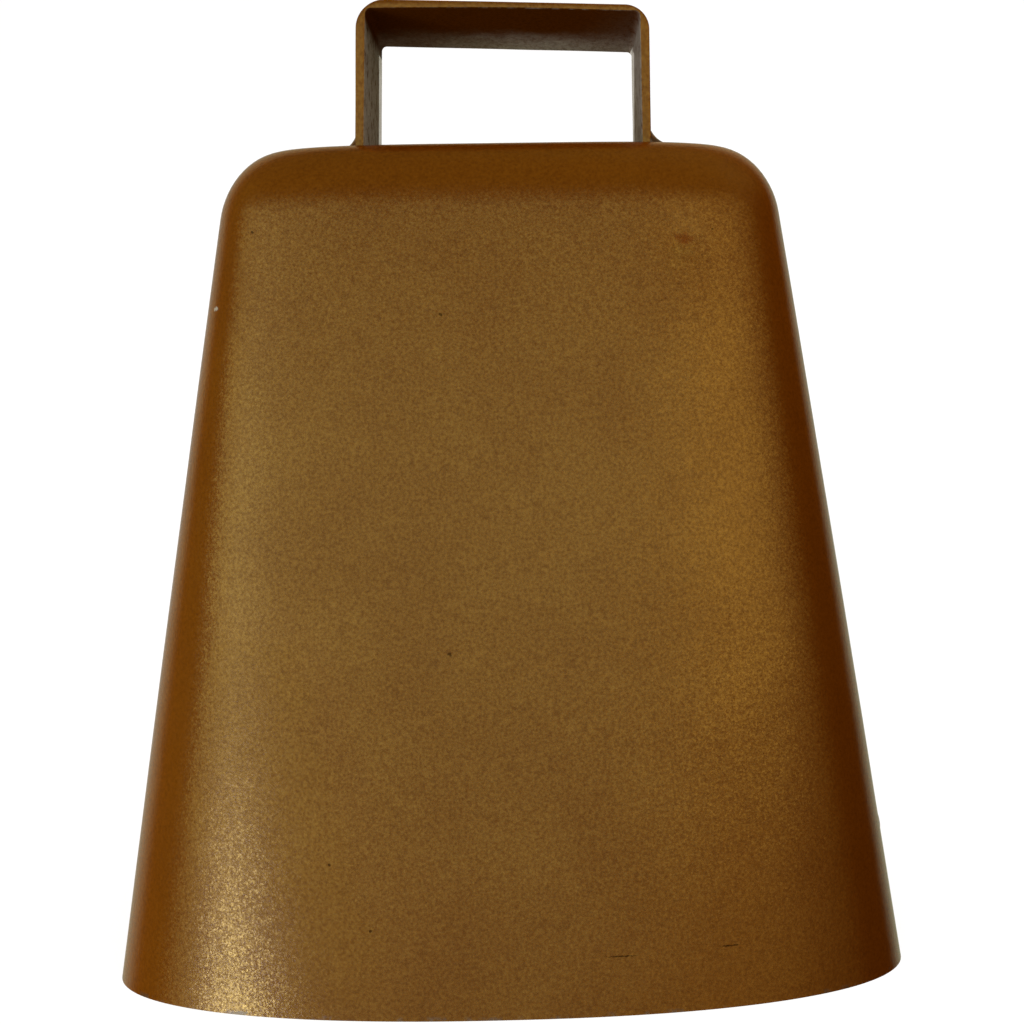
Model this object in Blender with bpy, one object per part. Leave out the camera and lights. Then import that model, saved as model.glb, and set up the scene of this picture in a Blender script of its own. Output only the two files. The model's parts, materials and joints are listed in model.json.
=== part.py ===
"""Long-distance cowbell in painted steel, with a welded strap handle and a hanging clapper.

Metres, +Z up. The origin is the centre of the mouth, on the plane of the rim.
The front faces -Y and +X is the bell's right as seen from the front.
The body is two pressed half shells. The back shell's edge is joggled inwards by one sheet
thickness, laps under the front shell all the way over the top, and is riveted down both sides.
The clapper hangs from a staple by a wire link, so it swings both across and along the mouth.
"""

import math

import bmesh
import bpy
from mathutils import Vector

# ---- driving dimensions -------------------------------------------------------------

CLEARANCE = 0.0003            # gap between pieces that touch

# bell body, outer surface
BODY_HEIGHT = 0.1399          # rim to the edge of the flat top
MOUTH_HALF_WIDTH = 0.0675
MOUTH_HALF_DEPTH = 0.0287
SIDE_LEAN = math.radians(8.73)
FACE_LEAN = math.radians(3.5)
MOUTH_SQUARENESS = 2.29       # superellipse exponent of the mouth: 2 is an ellipse
TOP_SQUARENESS = 4.0          # and of the top, whose corners are tight
SHOULDER_HEIGHT = 0.0113      # how far the shoulder's rounding reaches down the walls
SHOULDER_SIDE = 0.0086        # and in from the sides
SHOULDER_FACE = 0.0065        # and in from the front and back faces
TOP_CROWN = 0.0005
AXIS_DRIFT = 0.0094           # the pressing leans to +X by this much for each unit of height
SHEET = 0.0013

# lap seam down both sides and over the top, placed by its Y
BACK_SHELL_EDGE = -0.0060     # the back shell reaches this far forward, under the front shell
RIVET_LINE = 0.0030
FRONT_SHELL_EDGE = 0.0080     # the front shell ends here
JOGGLE_START = 0.0090         # from here the back shell steps out to the bell's outer surface
JOGGLE_END = 0.0112

# side rivets
RIVET_HEIGHTS = {"low": 0.022, "mid": 0.066, "high": 0.108}
RIVET_SHANK = 0.0016          # radii
RIVET_HEAD = 0.0036
RIVET_HEAD_RISE = 0.0006
RIVET_TAIL = 0.0027
RIVET_TAIL_RISE = 0.0010
RIVET_TAIL_GAP = 0.0006       # the sheet is hollow on the inside, so a tail stands off it more
HOLE_REACH = 0.006            # half length of the pins that cut the rivet and staple holes

# handle: a strap bent to a square loop, slightly out of square
STRAP_WIDTH = 0.0254
STRAP_SHEET = 0.0016
BAR_SHEET = 0.00135           # the bar across is drawn thinner than the legs
HANDLE_HALF_WIDTH = 0.0247    # to the outside of each leg at its foot
HANDLE_SHIFT = 0.0009         # the loop stands this far to +X of the top's middle
HANDLE_LEFT_RISE = 0.02485    # outside of the bar above the body, over each leg
HANDLE_RIGHT_RISE = 0.02265
HANDLE_LEFT_DRIFT = 0.0007    # how far each leg has moved to +X where it meets the bar
HANDLE_RIGHT_DRIFT = 0.0002
HANDLE_OUTER_BENDS = (0.0040, 0.0034)   # bend radii at the left and right corners
HANDLE_INNER_BENDS = (0.0009, 0.0014)
STRAP_EDGE = 0.0003

# fillet weld outside each foot of the strap
WELD_WIDTH = 0.0013
WELD_HEIGHT = 0.0021

# clapper suspension
STAPLE_WIRE = 0.0018          # radii of round stock
LINK_WIRE = 0.0016
STEM_WIRE = 0.0024
STAPLE_DROP = 0.0150          # top of the bell down to the middle of the staple's bar
STAPLE_HALF_SPAN = 0.0090
STAPLE_BEND = 0.0040
STAPLE_HEAD = 0.0034
STAPLE_HEAD_RISE = 0.0016
LINK_HALF_WIDTH = 0.0050      # middle line of the link
LINK_PITCH = 0.0106           # from the staple's bar to the link's lower bar
LINK_OPENING = 0.0004         # between the bent wire's two ends
EYE_RADIUS = 0.0056           # middle line of the stem's eye
EYE_NECK = 0.0045             # bend between the stem and its eye
EYE_END = math.radians(205.0)
BALL_RADIUS = 0.0100
BALL_HEIGHT = 0.0240          # rim plane up to the ball's centre
STEM_COLLAR = 0.0036          # radius of the swaged collar and foot that trap the ball
STEM_COLLAR_HEIGHT = 0.0016

# worked out from the above
TOP_Z = BODY_HEIGHT + TOP_CROWN
TOP_X = BODY_HEIGHT * AXIS_DRIFT
STAPLE_PIVOT = Vector((TOP_X, 0.0, BODY_HEIGHT - STAPLE_DROP))
CLAPPER_PIVOT = Vector((TOP_X, 0.0, STAPLE_PIVOT.z - LINK_PITCH))
LAPPED_SHEETS = 2.0 * SHEET + CLEARANCE
UP = Vector((0.0, 0.0, 1.0))

# facets
SHELL_ARC_STEPS = 34
WALL_STEPS = 6
SHOULDER_STEPS = 5
CAP_STEPS = 3
WIRE_SIDES = 14
BEND_STEPS = 7
ROUND_SIDES = 20
HEAD_STEPS = 3                # of a rounded head, from its rim to its crown
BALL_STEPS = 12
CROWN_FLAT = 0.08             # flat at the crown of a rounded head, as a share of its radius
SHARP_ANGLE = math.radians(35.0)


# ---- scene and mesh helpers ---------------------------------------------------------

def clear_scene():
    for obj in list(bpy.data.objects):
        bpy.data.objects.remove(obj, do_unlink=True)


def make_material(name, colour, roughness, metallic):
    material = bpy.data.materials.new(name)
    material.use_nodes = True
    shader = material.node_tree.nodes["Principled BSDF"]
    shader.inputs["Base Color"].default_value = (*colour, 1.0)
    shader.inputs["Roughness"].default_value = roughness
    shader.inputs["Metallic"].default_value = metallic
    return material


def gold_paint(name):
    return make_material(name + "_paint", (0.24, 0.13, 0.035), 0.42, 0.75)


def bare_steel(name):
    return make_material(name + "_steel", (0.36, 0.35, 0.33), 0.38, 1.0)


def make_object(name, bm, material, origin=(0.0, 0.0, 0.0)):
    """A smooth-shaded object whose origin is at a given point of the bell's frame."""
    bmesh.ops.remove_doubles(bm, verts=bm.verts, dist=1e-7)
    bmesh.ops.recalc_face_normals(bm, faces=bm.faces)
    bmesh.ops.translate(bm, verts=bm.verts, vec=-Vector(origin))
    mesh = bpy.data.meshes.new(name)
    bm.to_mesh(mesh)
    bm.free()
    mesh.shade_smooth()
    mesh.set_sharp_from_angle(angle=SHARP_ANGLE)
    mesh.materials.append(material)
    obj = bpy.data.objects.new(name, mesh)
    obj.location = origin
    bpy.context.collection.objects.link(obj)
    return obj


def skin_rings(bm, rings, closed=False):
    """Quads between successive rings of points; open skins get an end face on each side."""
    rows = [[bm.verts.new(point) for point in ring] for ring in rings]
    pairs = list(zip(rows, rows[1:]))
    if closed:
        pairs.append((rows[-1], rows[0]))
    else:
        bm.faces.new(rows[0])
        bm.faces.new(rows[-1])
    for near, far in pairs:
        count = len(near)
        for i in range(count):
            j = (i + 1) % count
            bm.faces.new((near[i], near[j], far[j], far[i]))


def circle_ring(centre, normal, side, radius, sides):
    """Points of a circle; side is a direction across its normal."""
    other = normal.cross(side)
    ring = []
    for i in range(sides):
        angle = 2.0 * math.pi * i / sides
        ring.append(centre + radius * (math.cos(angle) * side + math.sin(angle) * other))
    return ring


def flat_wire(bm, path, radii, across):
    """Round stock along a path that lies in a plane; across is the plane's normal."""
    rings = []
    last = len(path) - 1
    for i, (point, radius) in enumerate(zip(path, radii)):
        before = point - path[i - 1] if i > 0 else Vector()
        after = path[i + 1] - point if i < last else Vector()
        tangent = (before.normalized() + after.normalized()).normalized()
        rings.append(circle_ring(point, tangent, across, radius, WIRE_SIDES))
    skin_rings(bm, rings)


def arc_points(centre, across, start, radius, sweep, steps):
    """Points round a centre, from the direction start, turning about across."""
    other = across.cross(start)
    points = []
    for i in range(steps + 1):
        angle = sweep * i / steps
        points.append(centre + radius * (math.cos(angle) * start + math.sin(angle) * other))
    return points


def rounded_path(corners, bends, steps):
    """A path through corner points whose inner corners are rounded, each to its own radius."""
    path = [corners[0]]
    for before, corner, after, radius in zip(corners, corners[1:], corners[2:], bends):
        to_before = (before - corner).normalized()
        to_after = (after - corner).normalized()
        half_turn = 0.5 * to_before.angle(to_after)
        centre = corner + (to_before + to_after).normalized() * radius / math.sin(half_turn)
        reach = radius / math.tan(half_turn)
        start = (corner + to_before * reach - centre).normalized()
        end = (corner + to_after * reach - centre).normalized()
        across = start.cross(end).normalized()
        path += arc_points(centre, across, start, radius, start.angle(end), steps)
    path.append(corners[-1])
    return path


# ---- bell body ----------------------------------------------------------------------

def body_ring(level):
    """Half width, half depth, squareness and height of the outer surface at a level.

    Levels 0 to 1 climb the wall and levels 1 to 2 turn over the shoulder to the flat top.
    """
    turn = max(level - 1.0, 0.0) * 0.5 * math.pi
    wall_top = BODY_HEIGHT - SHOULDER_HEIGHT
    height = wall_top * min(level, 1.0) + SHOULDER_HEIGHT * math.sin(turn)
    tuck = 1.0 - math.cos(turn)
    half_width = MOUTH_HALF_WIDTH - height * math.tan(SIDE_LEAN) - SHOULDER_SIDE * tuck
    half_depth = MOUTH_HALF_DEPTH - height * math.tan(FACE_LEAN) - SHOULDER_FACE * tuck
    share = height / BODY_HEIGHT
    squareness = MOUTH_SQUARENESS + (TOP_SQUARENESS - MOUTH_SQUARENESS) * share
    return half_width, half_depth, squareness, height


def body_point(level, angle):
    half_width, half_depth, squareness, height = body_ring(level)
    cos, sin = math.cos(angle), math.sin(angle)
    x = math.copysign(half_width * abs(cos) ** (2.0 / squareness), cos)
    y = math.copysign(half_depth * abs(sin) ** (2.0 / squareness), sin)
    return Vector((x + height * AXIS_DRIFT, y, height))


def body_normal(level, angle):
    """Outward unit normal: square to the ring's tangent and to the way up the wall."""
    half_width, half_depth, squareness, _ = body_ring(level)
    cos, sin = math.cos(angle), math.sin(angle)
    power = 2.0 - 2.0 / squareness
    across = Vector((
        math.copysign(abs(cos) ** power / half_width, cos),
        math.copysign(abs(sin) ** power / half_depth, sin),
        0.0,
    )).normalized()
    step = 1e-4
    upward = body_point(min(level + step, 2.0), angle) - body_point(max(level - step, 0.0), angle)
    return Vector((across.x * upward.z, across.y * upward.z, -across.dot(upward))).normalized()


def angle_at_depth(level, depth):
    """The ring angle, on the +X side, at which the outer surface lies at a depth Y."""
    _, half_depth, squareness, _ = body_ring(level)
    share = abs(depth) / half_depth
    return math.copysign(math.asin(share ** (0.5 * squareness)), depth)


def shell_columns(level, seam_depths):
    """Ring angles of one half shell, from its seam edge at +X round to its seam edge at -X.

    The half shell lies towards +Y. Seam columns keep a constant depth, the rest share the arc.
    """
    seam = [angle_at_depth(level, depth) for depth in seam_depths]
    start = seam[-1]
    arc = [
        start + (math.pi - 2.0 * start) * i / SHELL_ARC_STEPS
        for i in range(1, SHELL_ARC_STEPS)
    ]
    return seam + arc + [math.pi - angle for angle in reversed(seam)]


def shell_surface(seam_depths, offset_at):
    """Rows of points of one face of the sheet, sunk below the outer surface by offset_at(depth).

    The lowest row is trimmed level with the rim plane, and the top rows close in on the crown.
    """
    rows = []
    levels = [i / WALL_STEPS for i in range(WALL_STEPS)]
    levels += [1.0 + i / SHOULDER_STEPS for i in range(SHOULDER_STEPS + 1)]
    for level in levels:
        row = []
        for angle in shell_columns(level, seam_depths):
            point = body_point(level, angle)
            point -= body_normal(level, angle) * offset_at(point.y)
            point.z *= min(level * WALL_STEPS, 1.0)
            row.append(point)
        rows.append(row)
    edge = rows[-1]
    pole_depth = seam_depths[-1]
    for i in range(1, CAP_STEPS + 1):
        share = 1.0 - i / CAP_STEPS
        row = []
        for point in edge:
            x = TOP_X + (point.x - TOP_X) * share
            y = pole_depth + (point.y - pole_depth) * share if point.y > pole_depth else point.y
            row.append(Vector((x, y, point.z + TOP_CROWN * (1.0 - share * share))))
        rows.append(row)
    return rows


def half_shell(name, facing, seam_depths, offset_at):
    """One pressed half shell. facing is -1 for the front half and +1 for the back half."""
    outer = shell_surface(seam_depths, offset_at)
    inner = shell_surface(seam_depths, lambda depth: offset_at(depth) + SHEET)
    bm = bmesh.new()
    outer_rows = [[bm.verts.new((p.x, p.y * facing, p.z)) for p in row] for row in outer]
    inner_rows = [[bm.verts.new((p.x, p.y * facing, p.z)) for p in row] for row in inner]
    for rows in (outer_rows, inner_rows):
        for low, high in zip(rows, rows[1:]):
            for i in range(len(low) - 1):
                bm.faces.new((low[i], low[i + 1], high[i + 1], high[i]))
    rim_out, rim_in = outer_rows[0], inner_rows[0]
    for i in range(len(rim_out) - 1):
        bm.faces.new((rim_out[i], rim_out[i + 1], rim_in[i + 1], rim_in[i]))
    for i in range(len(outer_rows) - 1):
        for side in (0, -1):
            bm.faces.new((
                outer_rows[i][side],
                outer_rows[i + 1][side],
                inner_rows[i + 1][side],
                inner_rows[i][side],
            ))
    return make_object(name, bm, gold_paint(name))


def joggle_offset(depth):
    """How far the back shell's outer face is sunk at a depth: one sheet and a gap in the lap."""
    share = (JOGGLE_END - depth) / (JOGGLE_END - JOGGLE_START)
    share = min(max(share, 0.0), 1.0)
    return (SHEET + CLEARANCE) * share * share * (3.0 - 2.0 * share)


def build_shells():
    lap = [
        BACK_SHELL_EDGE,
        0.5 * (BACK_SHELL_EDGE + RIVET_LINE),
        RIVET_LINE,
        0.5 * (RIVET_LINE + FRONT_SHELL_EDGE),
        FRONT_SHELL_EDGE,
    ]
    joggle = [JOGGLE_START, 0.5 * (JOGGLE_START + JOGGLE_END), JOGGLE_END]
    front_depths = [-depth for depth in reversed(lap)]
    back_depths = lap + joggle
    front = half_shell("front_shell", -1, front_depths, lambda depth: 0.0)
    back = half_shell("back_shell", 1, back_depths, joggle_offset)
    cutter = build_hole_cutter()
    for shell in (front, back):
        holes = shell.modifiers.new("holes", "BOOLEAN")
        holes.operation = "DIFFERENCE"
        holes.solver = "EXACT"
        holes.object = cutter


# ---- rivets and the holes through the sheet ------------------------------------------

def rivet_seat(side, height):
    """Point on the outer surface at the rivet line of a side, and the outward normal there."""
    level = height / (BODY_HEIGHT - SHOULDER_HEIGHT)
    angle = angle_at_depth(level, RIVET_LINE)
    if side < 0:
        angle = math.pi - angle
    return body_point(level, angle), body_normal(level, angle)


def turned(bm, seat, axis, profile, sides):
    """A solid of revolution from (distance along the axis, radius) pairs."""
    across = axis.orthogonal().normalized()
    rings = [circle_ring(seat + axis * along, axis, across, r, sides) for along, r in profile]
    skin_rings(bm, rings)


def dome(base, rise, radius, steps=HEAD_STEPS):
    """Profile pairs of a rounded head, from its rim to near its crown."""
    pairs = []
    for i in range(steps + 1):
        turn = 0.5 * math.pi * i / steps
        pairs.append((base + rise * math.sin(turn), radius * max(math.cos(turn), CROWN_FLAT)))
    return pairs


def build_rivet(name, side, height):
    seat, normal = rivet_seat(side, height)
    head_base = CLEARANCE
    tail_base = -LAPPED_SHEETS - RIVET_TAIL_GAP
    profile = list(reversed(dome(head_base, RIVET_HEAD_RISE, RIVET_HEAD, HEAD_STEPS + 1)))
    profile += [(head_base, RIVET_SHANK), (tail_base, RIVET_SHANK)]
    profile += dome(tail_base, -RIVET_TAIL_RISE, RIVET_TAIL)
    bm = bmesh.new()
    turned(bm, seat, normal, profile, ROUND_SIDES)
    return make_object(name, bm, gold_paint(name), seat)


def build_rivets():
    for side, side_name in ((-1, "left"), (1, "right")):
        for place, height in RIVET_HEIGHTS.items():
            build_rivet(f"rivet_{side_name}_{place}", side, height)


def build_hole_cutter():
    """Rivet and staple holes as one set of plain pins; it cuts and isn't part of the bell."""
    bm = bmesh.new()
    for side in (-1, 1):
        for height in RIVET_HEIGHTS.values():
            seat, normal = rivet_seat(side, height)
            radius = RIVET_SHANK + CLEARANCE
            turned(bm, seat, normal, [(HOLE_REACH, radius), (-HOLE_REACH, radius)], ROUND_SIDES)
        seat = Vector((TOP_X + side * STAPLE_HALF_SPAN, 0.0, TOP_Z))
        radius = STAPLE_WIRE + CLEARANCE
        turned(bm, seat, UP, [(HOLE_REACH, radius), (-HOLE_REACH, radius)], ROUND_SIDES)
    cutter = make_object("hole_cutter", bm, bare_steel("hole_cutter"))
    cutter.hide_render = True
    cutter.display_type = "WIRE"
    return cutter


# ---- handle -------------------------------------------------------------------------

def handle_line(leg_inset, bar_inset, bends):
    """A line round the loop in the XZ plane, at these depths below its outer surface."""
    foot = TOP_Z + CLEARANCE
    left = TOP_X + HANDLE_SHIFT - HANDLE_HALF_WIDTH + leg_inset
    right = TOP_X + HANDLE_SHIFT + HANDLE_HALF_WIDTH - leg_inset
    left_bar = BODY_HEIGHT + HANDLE_LEFT_RISE - bar_inset
    right_bar = BODY_HEIGHT + HANDLE_RIGHT_RISE - bar_inset
    corners = [
        Vector((left, 0.0, foot)),
        Vector((left + HANDLE_LEFT_DRIFT, 0.0, left_bar)),
        Vector((right + HANDLE_RIGHT_DRIFT, 0.0, right_bar)),
        Vector((right, 0.0, foot)),
    ]
    return rounded_path(corners, bends, BEND_STEPS)


def build_handle():
    """The strap is bent over a sharp edge, so its corners are rounder outside than inside."""
    outer = handle_line(0.0, 0.0, HANDLE_OUTER_BENDS)
    inner = handle_line(STRAP_SHEET, BAR_SHEET, HANDLE_INNER_BENDS)
    side = Vector((0.0, 0.5 * STRAP_WIDTH, 0.0))
    rings = [[out - side, out + side, within + side, within - side] for out, within in zip(outer, inner)]
    bm = bmesh.new()
    skin_rings(bm, rings)
    strap = make_object("handle_strap", bm, gold_paint("handle_strap"))
    edges = strap.modifiers.new("eased_edges", "BEVEL")
    edges.width = STRAP_EDGE
    edges.segments = 1
    edges.limit_method = "ANGLE"
    edges.angle_limit = math.radians(60.0)


def build_weld(name, side):
    """A hollow-faced fillet along the outside of one foot, thinning out at both ends."""
    corner_x = TOP_X + HANDLE_SHIFT + side * (HANDLE_HALF_WIDTH + CLEARANCE)
    corner_z = TOP_Z + CLEARANCE
    section = [(0.0, 0.0), (1.0, 0.0), (0.50, 0.22), (0.22, 0.52), (0.0, 1.0)]
    half_length = 0.5 * STRAP_WIDTH
    stations = ((-1.0, 0.45), (-0.95, 0.9), (-0.85, 1.0), (0.85, 1.0), (0.95, 0.9), (1.0, 0.45))
    rings = []
    for share, size in stations:
        ring = []
        for out, up in section:
            x = corner_x + side * out * size * WELD_WIDTH
            ring.append(Vector((x, share * half_length, corner_z + up * size * WELD_HEIGHT)))
        rings.append(ring)
    bm = bmesh.new()
    skin_rings(bm, rings)
    return make_object(name, bm, gold_paint(name))


# ---- clapper ------------------------------------------------------------------------

def build_staple():
    """U of round wire through the top; both ends are headed over on the outside."""
    head_base = TOP_Z + CLEARANCE
    left = TOP_X - STAPLE_HALF_SPAN
    right = TOP_X + STAPLE_HALF_SPAN
    corners = [
        Vector((left, 0.0, head_base)),
        Vector((left, 0.0, STAPLE_PIVOT.z)),
        Vector((right, 0.0, STAPLE_PIVOT.z)),
        Vector((right, 0.0, head_base)),
    ]
    path = rounded_path(corners, [STAPLE_BEND, STAPLE_BEND], BEND_STEPS)
    radii = [STAPLE_WIRE] * len(path)
    head = dome(head_base, STAPLE_HEAD_RISE, STAPLE_HEAD)
    left_head = [Vector((left, 0.0, z)) for z, _ in reversed(head)]
    right_head = [Vector((right, 0.0, z)) for z, _ in head]
    head_radii = [radius for _, radius in head]
    bm = bmesh.new()
    rings = []
    whole = left_head + path + right_head
    whole_radii = list(reversed(head_radii)) + radii + head_radii
    across = Vector((0.0, 1.0, 0.0))
    for i, (point, radius) in enumerate(zip(whole, whole_radii)):
        if i < len(left_head) + 1:
            tangent = -UP
        elif i >= len(left_head) + len(path) - 1:
            tangent = UP
        else:
            tangent = (whole[i + 1] - whole[i - 1]).normalized()
        rings.append(circle_ring(point, tangent, across, radius, WIRE_SIDES))
    skin_rings(bm, rings)
    return make_object("clapper_staple", bm, bare_steel("clapper_staple"))


def build_link():
    """Open wire link in the YZ plane: over the staple's bar, and carrying the stem's eye."""
    upper = STAPLE_PIVOT.z + STAPLE_WIRE + CLEARANCE + LINK_WIRE - LINK_HALF_WIDTH
    lower = CLAPPER_PIVOT.z + LINK_HALF_WIDTH
    middle = 0.5 * (upper + lower)
    across = Vector((1.0, 0.0, 0.0))
    right = Vector((0.0, 1.0, 0.0))
    steps = 2 * BEND_STEPS
    over = Vector((TOP_X, 0.0, upper))
    under = Vector((TOP_X, 0.0, lower))
    path = [Vector((TOP_X, LINK_HALF_WIDTH, middle + 0.5 * LINK_OPENING))]
    path += arc_points(over, across, right, LINK_HALF_WIDTH, math.pi, steps)
    path += arc_points(under, across, -right, LINK_HALF_WIDTH, math.pi, steps)
    path.append(Vector((TOP_X, LINK_HALF_WIDTH, middle - 0.5 * LINK_OPENING)))
    bm = bmesh.new()
    flat_wire(bm, path, [LINK_WIRE] * len(path), across)
    return make_object("clapper_link", bm, bare_steel("clapper_link"), STAPLE_PIVOT)


def build_stem():
    """Rod bent into an eye in the XZ plane, with a collar and a foot swaged on to hold the ball."""
    eye_z = CLAPPER_PIVOT.z + LINK_WIRE + CLEARANCE + STEM_WIRE - EYE_RADIUS
    reach = EYE_RADIUS + EYE_NECK
    neck_z = eye_z - math.sqrt(reach * reach - EYE_NECK * EYE_NECK)
    across = Vector((0.0, -1.0, 0.0))
    neck_centre = Vector((TOP_X + EYE_NECK, 0.0, neck_z))
    eye_centre = Vector((TOP_X, 0.0, eye_z))
    neck_turn = math.atan2(eye_z - neck_z, EYE_NECK)
    ball_top = BALL_HEIGHT + BALL_RADIUS + CLEARANCE
    ball_foot = BALL_HEIGHT - BALL_RADIUS - CLEARANCE
    foot = dome(ball_foot, -STEM_COLLAR_HEIGHT, STEM_COLLAR)
    column = [(z, radius) for z, radius in reversed(foot)]
    column += [
        (ball_foot, STEM_WIRE),
        (ball_top, STEM_WIRE),
        (ball_top, STEM_COLLAR),
        (ball_top + 0.6 * STEM_COLLAR_HEIGHT, STEM_COLLAR),
        (ball_top + STEM_COLLAR_HEIGHT, STEM_WIRE),
    ]
    rings = [
        circle_ring(Vector((TOP_X, 0.0, z)), UP, across, radius, WIRE_SIDES)
        for z, radius in column
    ]
    neck = []
    for i in range(BEND_STEPS + 1):
        angle = math.pi - neck_turn * i / BEND_STEPS
        offset = Vector((math.cos(angle), 0.0, math.sin(angle))) * EYE_NECK
        neck.append(neck_centre + offset)
    eye = []
    start = -neck_turn
    steps = 3 * BEND_STEPS
    for i in range(1, steps + 1):
        angle = start + (EYE_END - start) * i / steps
        eye.append(eye_centre + Vector((math.cos(angle), 0.0, math.sin(angle))) * EYE_RADIUS)
    bent = neck + eye
    last = len(bent) - 1
    for i, point in enumerate(bent):
        before = (point - bent[i - 1]).normalized() if i > 0 else UP
        after = (bent[i + 1] - point).normalized() if i < last else before
        tangent = (before + after).normalized()
        rings.append(circle_ring(point, tangent, across, STEM_WIRE, WIRE_SIDES))
    bm = bmesh.new()
    skin_rings(bm, rings)
    return make_object("clapper_stem", bm, bare_steel("clapper_stem"), CLAPPER_PIVOT)


def build_ball():
    """Steel ball drilled through for the stem."""
    bore = STEM_WIRE + CLEARANCE
    start = math.asin(bore / BALL_RADIUS)
    profile = []
    for i in range(BALL_STEPS + 1):
        angle = start + (math.pi - 2.0 * start) * i / BALL_STEPS
        profile.append((BALL_RADIUS * math.cos(angle), BALL_RADIUS * math.sin(angle)))
    centre = Vector((TOP_X, 0.0, BALL_HEIGHT))
    side = Vector((1.0, 0.0, 0.0))
    rings = [circle_ring(centre + UP * along, UP, side, r, ROUND_SIDES) for along, r in profile]
    bm = bmesh.new()
    skin_rings(bm, rings, closed=True)
    return make_object("clapper_ball", bm, bare_steel("clapper_ball"), CLAPPER_PIVOT)


def build_clapper():
    build_staple()
    link = build_link()
    pivot = bpy.data.objects.new("clapper_pivot", None)
    pivot.location = CLAPPER_PIVOT - STAPLE_PIVOT
    bpy.context.collection.objects.link(pivot)
    pivot.parent = link
    for piece in (build_stem(), build_ball()):
        piece.parent = pivot
        piece.location = (0.0, 0.0, 0.0)


def build_cowbell():
    clear_scene()
    build_shells()
    build_rivets()
    build_handle()
    build_weld("handle_weld_left", -1)
    build_weld("handle_weld_right", 1)
    build_clapper()


build_cowbell()
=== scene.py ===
"""Looks of the long-distance cowbell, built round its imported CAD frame.

Metres, +Z up, in the CAD's own frame: the origin is the centre of the mouth, on the rim plane,
and the front faces -Y. Every CAD node is replaced by a finer mesh of the same size in the same
place, and every piece has a procedural material.
"""

import json
import math

import bmesh
import bpy
from mathutils import Matrix, Vector, noise


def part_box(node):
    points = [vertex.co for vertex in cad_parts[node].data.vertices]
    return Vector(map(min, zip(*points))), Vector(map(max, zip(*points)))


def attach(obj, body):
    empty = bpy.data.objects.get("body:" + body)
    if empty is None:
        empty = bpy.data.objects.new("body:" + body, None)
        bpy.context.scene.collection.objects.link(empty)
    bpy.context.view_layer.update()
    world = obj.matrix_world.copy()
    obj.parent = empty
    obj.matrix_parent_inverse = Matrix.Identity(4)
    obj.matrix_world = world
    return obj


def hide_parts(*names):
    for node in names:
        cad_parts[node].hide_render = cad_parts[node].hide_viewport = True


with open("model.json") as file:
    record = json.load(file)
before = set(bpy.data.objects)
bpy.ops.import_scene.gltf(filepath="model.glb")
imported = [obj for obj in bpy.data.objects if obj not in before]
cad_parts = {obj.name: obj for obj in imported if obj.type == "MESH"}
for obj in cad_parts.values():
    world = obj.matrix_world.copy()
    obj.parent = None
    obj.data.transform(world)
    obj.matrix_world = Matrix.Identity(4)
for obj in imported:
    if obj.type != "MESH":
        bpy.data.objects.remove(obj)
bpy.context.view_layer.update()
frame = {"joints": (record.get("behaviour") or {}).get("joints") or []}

# ---- sizes read from the frame ---------------------------

FRONT_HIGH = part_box("front_shell")[1]
BACK_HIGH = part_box("back_shell")[1]
STRAP_LOW, STRAP_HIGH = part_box("handle_strap")
BALL_LOW, BALL_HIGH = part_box("clapper_ball")
PIVOTS = {joint["name"]: Vector(joint["pos_m"]) for joint in frame["joints"]}

MOUTH_HALF_WIDTH = 0.0675
MOUTH_HALF_DEPTH = BACK_HIGH.y
TOP_Z = FRONT_HIGH.z
TOP_CROWN = 0.0005
BODY_HEIGHT = TOP_Z - TOP_CROWN
STAPLE_PIVOT = PIVOTS["link_swing"]
CLAPPER_PIVOT = PIVOTS["clapper_swing"]
TOP_X = STAPLE_PIVOT.x

# ---- bell body: the CAD's own form -----------------------

SIDE_LEAN = math.radians(8.73)
FACE_LEAN = math.radians(3.5)
MOUTH_SQUARENESS = 2.29       # superellipse exponents
TOP_SQUARENESS = 4.0
SHOULDER_HEIGHT = 0.0113
SHOULDER_SIDE = 0.0086
SHOULDER_FACE = 0.0065
AXIS_DRIFT = TOP_X / BODY_HEIGHT
TOP_TILT = math.tan(math.radians(0.65))   # the top's +X side is a little low
SHEET = 0.0013
LAP_GAP = 0.0003
RIM_EASE = 0.00035            # rounding of the sheet's cut edges
BACK_SHELL_EDGE = -0.0060
FRONT_SHELL_EDGE = FRONT_HIGH.y
JOGGLE_START = 0.0090
JOGGLE_END = 0.0112
UNEVENNESS = 0.00007          # the pressed sheet isn't perfectly fair
UNEVEN_SIZES = (0.034, 0.012)
DENT = Vector((0.0312, 0.0, 0.1225))   # a small knock on the front face, placed by X and Z
DENT_RADIUS = 0.0030
DENT_DEPTH = 0.00022

RIVET_LINE = 0.0030
RIVET_HEIGHTS = {"low": 0.022, "mid": 0.066, "high": 0.108}
RIVET_SHANK = 0.0016
RIVET_HEAD = 0.0036
RIVET_HEAD_RISE = 0.0009
RIVET_TAIL = 0.0027
RIVET_TAIL_RISE = 0.0010
RIVET_BED = 0.0002            # the head reaches this far below the sheet's ideal surface
RIVET_RIPPLE = 0.07           # the heads are this share out of round
RIVET_RIPPLE_SIZE = 0.0025
LAPPED_SHEETS = 2.0 * SHEET + LAP_GAP

# ---- handle ----------------------------------------------

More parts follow.
